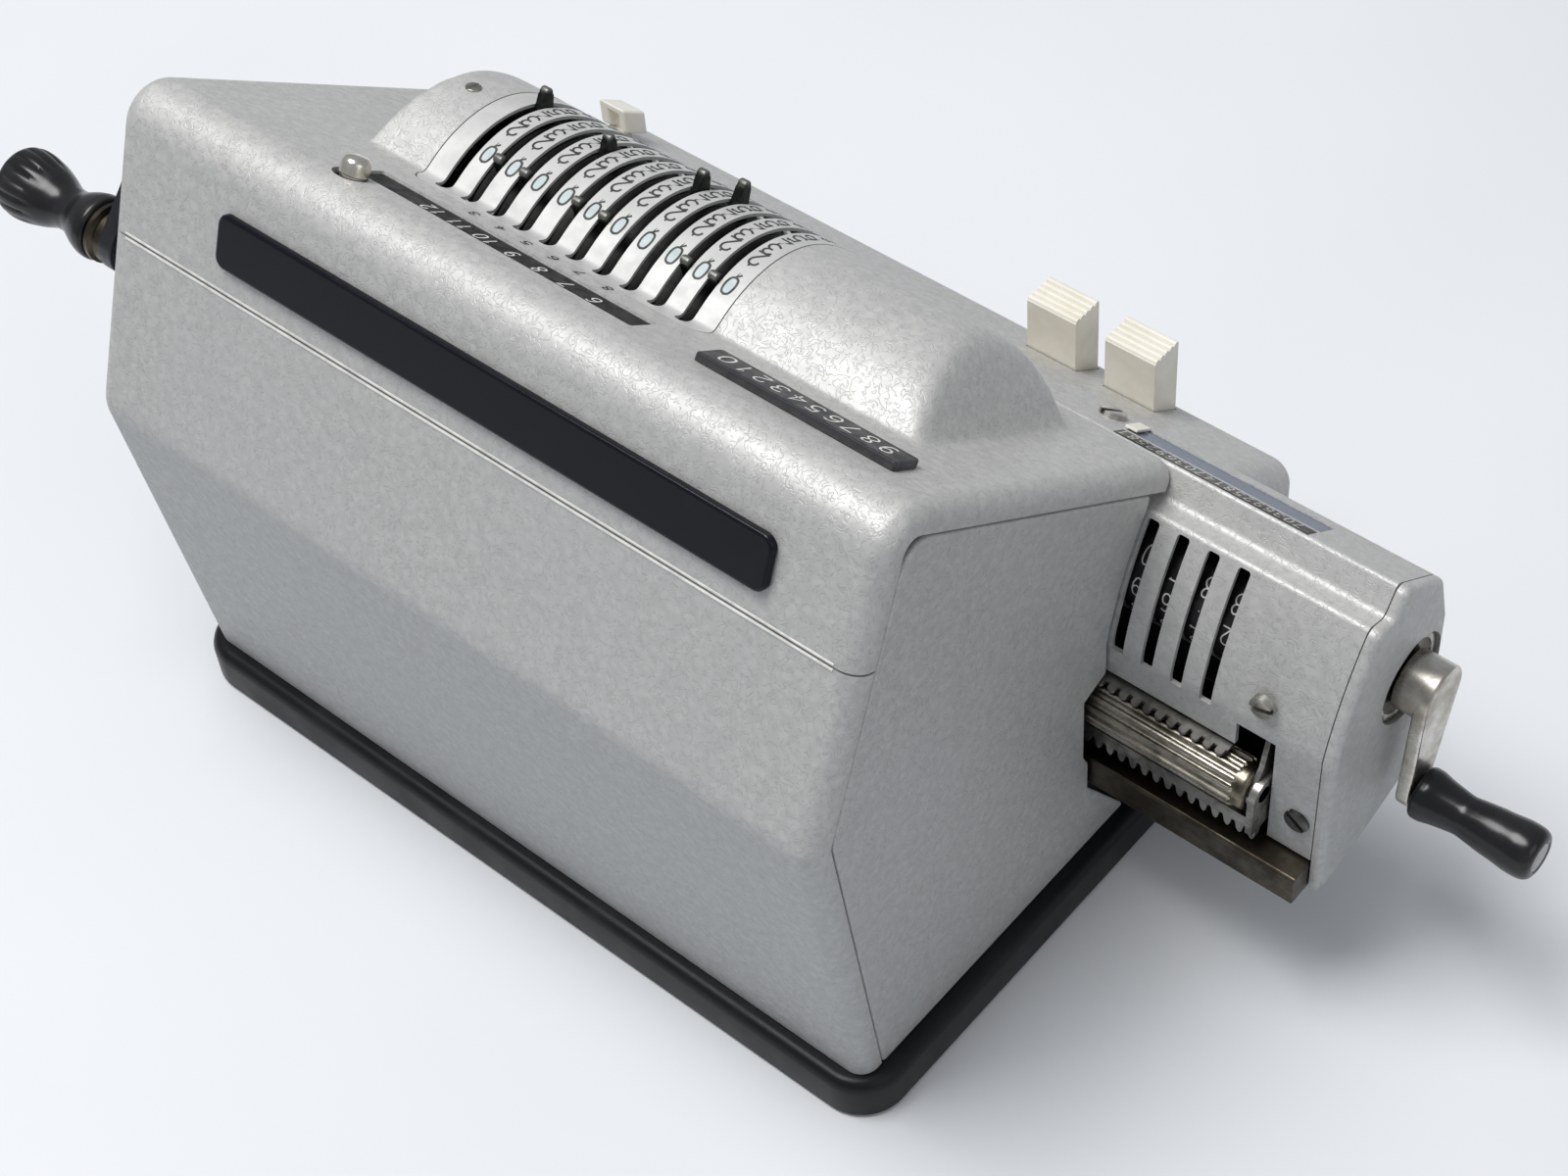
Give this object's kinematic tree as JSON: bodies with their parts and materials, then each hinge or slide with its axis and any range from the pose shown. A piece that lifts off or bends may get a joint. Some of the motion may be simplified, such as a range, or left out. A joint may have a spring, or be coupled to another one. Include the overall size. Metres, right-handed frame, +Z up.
{
  "type": "pinwheel calculator",
  "caption": "Desk calculating machine with a hand crank, setting levers in a humped slotted cover, and a sliding number carriage with clearing cranks.",
  "frame": {"origin": "centre of the base's flat underside", "axes": "+Z up, +Y to the rear face with the long plate, +X to the right of a person sitting at the front, towards the main crank"},
  "size_m": [0.3686, 0.1867, 0.1874],
  "materials": {
    "grey_enamel": "fine wrinkled silver-grey enamel",
    "black_enamel": "satin black enamel",
    "gloss_black": "gloss black, left bare",
    "plain_steel": "bright machined steel",
    "blued_steel": "dark blued steel with worn edges",
    "dark_bronze": "bronze-black, oiled",
    "nickel": "nickel plate, a little worn",
    "black_bakelite": "polished black moulding",
    "black_wheel": "black with white digits",
    "ivory": "ivory plastic, a little yellowed"
  },
  "bodies": {
    "machine_body": {"base_tray": "black_enamel", "rear_housing": "grey_enamel", "end_panel_left": "grey_enamel", "end_panel_right": "grey_enamel", "top_cover": "grey_enamel", "slot_plate": "plain_steel", "nameplate": "gloss_black", "check_window": "black_enamel", "counter_scale": "gloss_black", "side_frame_left": "plain_steel", "side_frame_right": "plain_steel", "front_housing": "grey_enamel"},
    "main_crank": {"crank_arm": "blued_steel"},
    "main_handle": {"crank_grip": "black_bakelite"},
    "idler": {"idler_gear": "plain_steel"},
    "rotor": {"pinwheel_rotor": "plain_steel"},
    "lever_01": {"setting_lever_01": "blued_steel"},
    "lever_02": {"setting_lever_02": "blued_steel"},
    "lever_03": {"setting_lever_03": "blued_steel"},
    "lever_04": {"setting_lever_04": "blued_steel"},
    "lever_05": {"setting_lever_05": "blued_steel"},
    "lever_06": {"setting_lever_06": "blued_steel"},
    "lever_07": {"setting_lever_07": "blued_steel"},
    "lever_08": {"setting_lever_08": "blued_steel"},
    "lever_09": {"setting_lever_09": "blued_steel"},
    "lever_10": {"setting_lever_10": "blued_steel"},
    "carriage": {"carriage_cover": "grey_enamel", "carriage_cap_left": "grey_enamel", "carriage_cap_right": "grey_enamel", "carriage_rail": "dark_bronze", "register_shaft": "plain_steel", "comb_rack": "plain_steel"},
    "roller": {"fluted_roller": "nickel"},
    "counter_crank": {"counter_clearing_crank": "nickel"},
    "counter_handle": {"counter_clearing_grip": "black_bakelite"},
    "result_crank": {"result_clearing_crank": "nickel"},
    "result_handle": {"result_clearing_grip": "black_bakelite"},
    "counter_1": {"counter_wheel_1": "black_wheel"},
    "counter_2": {"counter_wheel_2": "black_wheel"},
    "counter_3": {"counter_wheel_3": "black_wheel"},
    "counter_4": {"counter_wheel_4": "black_wheel"},
    "counter_5": {"counter_wheel_5": "black_wheel"},
    "counter_6": {"counter_wheel_6": "black_wheel"},
    "result_01": {"result_wheel_01": "black_wheel"},
    "result_02": {"result_wheel_02": "black_wheel"},
    "result_03": {"result_wheel_03": "black_wheel"},
    "result_04": {"result_wheel_04": "black_wheel"},
    "result_05": {"result_wheel_05": "black_wheel"},
    "result_06": {"result_wheel_06": "black_wheel"},
    "result_07": {"result_wheel_07": "black_wheel"},
    "result_08": {"result_wheel_08": "black_wheel"},
    "result_09": {"result_wheel_09": "black_wheel"},
    "result_10": {"result_wheel_10": "black_wheel"},
    "result_11": {"result_wheel_11": "black_wheel"},
    "result_12": {"result_wheel_12": "black_wheel"},
    "result_13": {"result_wheel_13": "black_wheel"},
    "key_right": {"shift_key_right": "ivory"},
    "key_left": {"shift_key_left": "ivory"},
    "key_small": {"small_key": "ivory"}
  },
  "joints": [
    {"name": "main_crank_turn", "type": "hinge", "parent": "machine_body", "child": "main_crank", "pos_m": [0.1121, 0.0495, 0.16243], "axis": [1, 0, 0], "continuous": true},
    {"name": "main_grip_spin", "type": "hinge", "parent": "main_crank", "child": "main_handle", "pos_m": [0.1253, 0.07208, 0.13905], "axis": [1, 0, 0], "continuous": true},
    {"name": "idler_spin", "type": "hinge", "parent": "machine_body", "child": "idler", "pos_m": [0.0935, 0.03617, 0.14011], "axis": [1, 0, 0], "continuous": true},
    {"name": "rotor_spin", "type": "hinge", "parent": "machine_body", "child": "rotor", "pos_m": [0, 0.01026, 0.13795], "axis": [1, 0, 0], "continuous": true},
    {"name": "lever_01_set", "type": "hinge", "parent": "rotor", "child": "lever_01", "pos_m": [0.0455, 0.01026, 0.13795], "axis": [1, 0, 0], "range_deg": [-40, 32]},
    {"name": "lever_02_set", "type": "hinge", "parent": "rotor", "child": "lever_02", "pos_m": [0.0375, 0.01026, 0.13795], "axis": [1, 0, 0], "range_deg": [0, 72]},
    {"name": "lever_03_set", "type": "hinge", "parent": "rotor", "child": "lever_03", "pos_m": [0.0295, 0.01026, 0.13795], "axis": [1, 0, 0], "range_deg": [0, 72]},
    {"name": "lever_04_set", "type": "hinge", "parent": "rotor", "child": "lever_04", "pos_m": [0.0215, 0.01026, 0.13795], "axis": [1, 0, 0], "range_deg": [-32, 40]},
    {"name": "lever_05_set", "type": "hinge", "parent": "rotor", "child": "lever_05", "pos_m": [0.0135, 0.01026, 0.13795], "axis": [1, 0, 0], "range_deg": [0, 72]},
    {"name": "lever_06_set", "type": "hinge", "parent": "rotor", "child": "lever_06", "pos_m": [0.0055, 0.01026, 0.13795], "axis": [1, 0, 0], "range_deg": [0, 72]},
    {"name": "lever_07_set", "type": "hinge", "parent": "rotor", "child": "lever_07", "pos_m": [-0.0025, 0.01026, 0.13795], "axis": [1, 0, 0], "range_deg": [-40, 32]},
    {"name": "lever_08_set", "type": "hinge", "parent": "rotor", "child": "lever_08", "pos_m": [-0.0105, 0.01026, 0.13795], "axis": [1, 0, 0], "range_deg": [-48, 24]},
    {"name": "lever_09_set", "type": "hinge", "parent": "rotor", "child": "lever_09", "pos_m": [-0.0185, 0.01026, 0.13795], "axis": [1, 0, 0], "range_deg": [0, 72]},
    {"name": "lever_10_set", "type": "hinge", "parent": "rotor", "child": "lever_10", "pos_m": [-0.0265, 0.01026, 0.13795], "axis": [1, 0, 0], "range_deg": [0, 72]},
    {"name": "carriage_slide", "type": "slide", "parent": "machine_body", "child": "carriage", "axis": [1, 0, 0], "range_m": [0, 0.056]},
    {"name": "roller_spin", "type": "hinge", "parent": "carriage", "child": "roller", "pos_m": [-0.1505, -0.00496, 0.0635], "axis": [1, 0, 0], "continuous": true},
    {"name": "counter_crank_turn", "type": "hinge", "parent": "carriage", "child": "counter_crank", "pos_m": [-0.1715, -0.03714, 0.08496], "axis": [1, 0, 0], "continuous": true},
    {"name": "counter_grip_spin", "type": "hinge", "parent": "counter_crank", "child": "counter_handle", "pos_m": [-0.1803, -0.03207, 0.05621], "axis": [1, 0, 0], "continuous": true},
    {"name": "result_crank_turn", "type": "hinge", "parent": "carriage", "child": "result_crank", "pos_m": [0.1154, -0.03714, 0.08496], "axis": [1, 0, 0], "continuous": true},
    {"name": "result_grip_spin", "type": "hinge", "parent": "result_crank", "child": "result_handle", "pos_m": [0.1242, -0.0097, 0.09495], "axis": [1, 0, 0], "continuous": true},
    {"name": "counter_1_spin", "type": "hinge", "parent": "carriage", "child": "counter_1", "pos_m": [-0.0975, -0.02614, 0.09406], "axis": [1, 0, 0], "continuous": true},
    {"name": "counter_2_spin", "type": "hinge", "parent": "carriage", "child": "counter_2", "pos_m": [-0.1055, -0.02614, 0.09406], "axis": [1, 0, 0], "continuous": true},
    {"name": "counter_3_spin", "type": "hinge", "parent": "carriage", "child": "counter_3", "pos_m": [-0.1135, -0.02614, 0.09406], "axis": [1, 0, 0], "continuous": true},
    {"name": "counter_4_spin", "type": "hinge", "parent": "carriage", "child": "counter_4", "pos_m": [-0.1215, -0.02614, 0.09406], "axis": [1, 0, 0], "continuous": true},
    {"name": "counter_5_spin", "type": "hinge", "parent": "carriage", "child": "counter_5", "pos_m": [-0.1295, -0.02614, 0.09406], "axis": [1, 0, 0], "continuous": true},
    {"name": "counter_6_spin", "type": "hinge", "parent": "carriage", "child": "counter_6", "pos_m": [-0.1375, -0.02614, 0.09406], "axis": [1, 0, 0], "continuous": true},
    {"name": "result_01_spin", "type": "hinge", "parent": "carriage", "child": "result_01", "pos_m": [0.0455, -0.02614, 0.09406], "axis": [1, 0, 0], "continuous": true},
    {"name": "result_02_spin", "type": "hinge", "parent": "carriage", "child": "result_02", "pos_m": [0.0375, -0.02614, 0.09406], "axis": [1, 0, 0], "continuous": true},
    {"name": "result_03_spin", "type": "hinge", "parent": "carriage", "child": "result_03", "pos_m": [0.0295, -0.02614, 0.09406], "axis": [1, 0, 0], "continuous": true},
    {"name": "result_04_spin", "type": "hinge", "parent": "carriage", "child": "result_04", "pos_m": [0.0215, -0.02614, 0.09406], "axis": [1, 0, 0], "continuous": true},
    {"name": "result_05_spin", "type": "hinge", "parent": "carriage", "child": "result_05", "pos_m": [0.0135, -0.02614, 0.09406], "axis": [1, 0, 0], "continuous": true},
    {"name": "result_06_spin", "type": "hinge", "parent": "carriage", "child": "result_06", "pos_m": [0.0055, -0.02614, 0.09406], "axis": [1, 0, 0], "continuous": true},
    {"name": "result_07_spin", "type": "hinge", "parent": "carriage", "child": "result_07", "pos_m": [-0.0025, -0.02614, 0.09406], "axis": [1, 0, 0], "continuous": true},
    {"name": "result_08_spin", "type": "hinge", "parent": "carriage", "child": "result_08", "pos_m": [-0.0105, -0.02614, 0.09406], "axis": [1, 0, 0], "continuous": true},
    {"name": "result_09_spin", "type": "hinge", "parent": "carriage", "child": "result_09", "pos_m": [-0.0185, -0.02614, 0.09406], "axis": [1, 0, 0], "continuous": true},
    {"name": "result_10_spin", "type": "hinge", "parent": "carriage", "child": "result_10", "pos_m": [-0.0265, -0.02614, 0.09406], "axis": [1, 0, 0], "continuous": true},
    {"name": "result_11_spin", "type": "hinge", "parent": "carriage", "child": "result_11", "pos_m": [-0.0345, -0.02614, 0.09406], "axis": [1, 0, 0], "continuous": true},
    {"name": "result_12_spin", "type": "hinge", "parent": "carriage", "child": "result_12", "pos_m": [-0.0425, -0.02614, 0.09406], "axis": [1, 0, 0], "continuous": true},
    {"name": "result_13_spin", "type": "hinge", "parent": "carriage", "child": "result_13", "pos_m": [-0.0505, -0.02614, 0.09406], "axis": [1, 0, 0], "continuous": true},
    {"name": "key_right_press", "type": "slide", "parent": "machine_body", "child": "key_right", "axis": [0, 0, -1], "range_m": [0, 0.006], "stiffness_N_per_m": 150, "springref_m": -0.002},
    {"name": "key_left_press", "type": "slide", "parent": "machine_body", "child": "key_left", "axis": [0, 0, -1], "range_m": [0, 0.006], "stiffness_N_per_m": 150, "springref_m": -0.002},
    {"name": "key_small_press", "type": "slide", "parent": "machine_body", "child": "key_small", "axis": [0, 0, -1], "range_m": [0, 0.002], "stiffness_N_per_m": 150, "springref_m": -0.002}
  ],
  "couplings": [
    {"joint": "idler_spin", "follows": "main_crank_turn", "ratio": -0.36842},
    {"joint": "rotor_spin", "follows": "main_crank_turn", "ratio": 1}
  ]
}
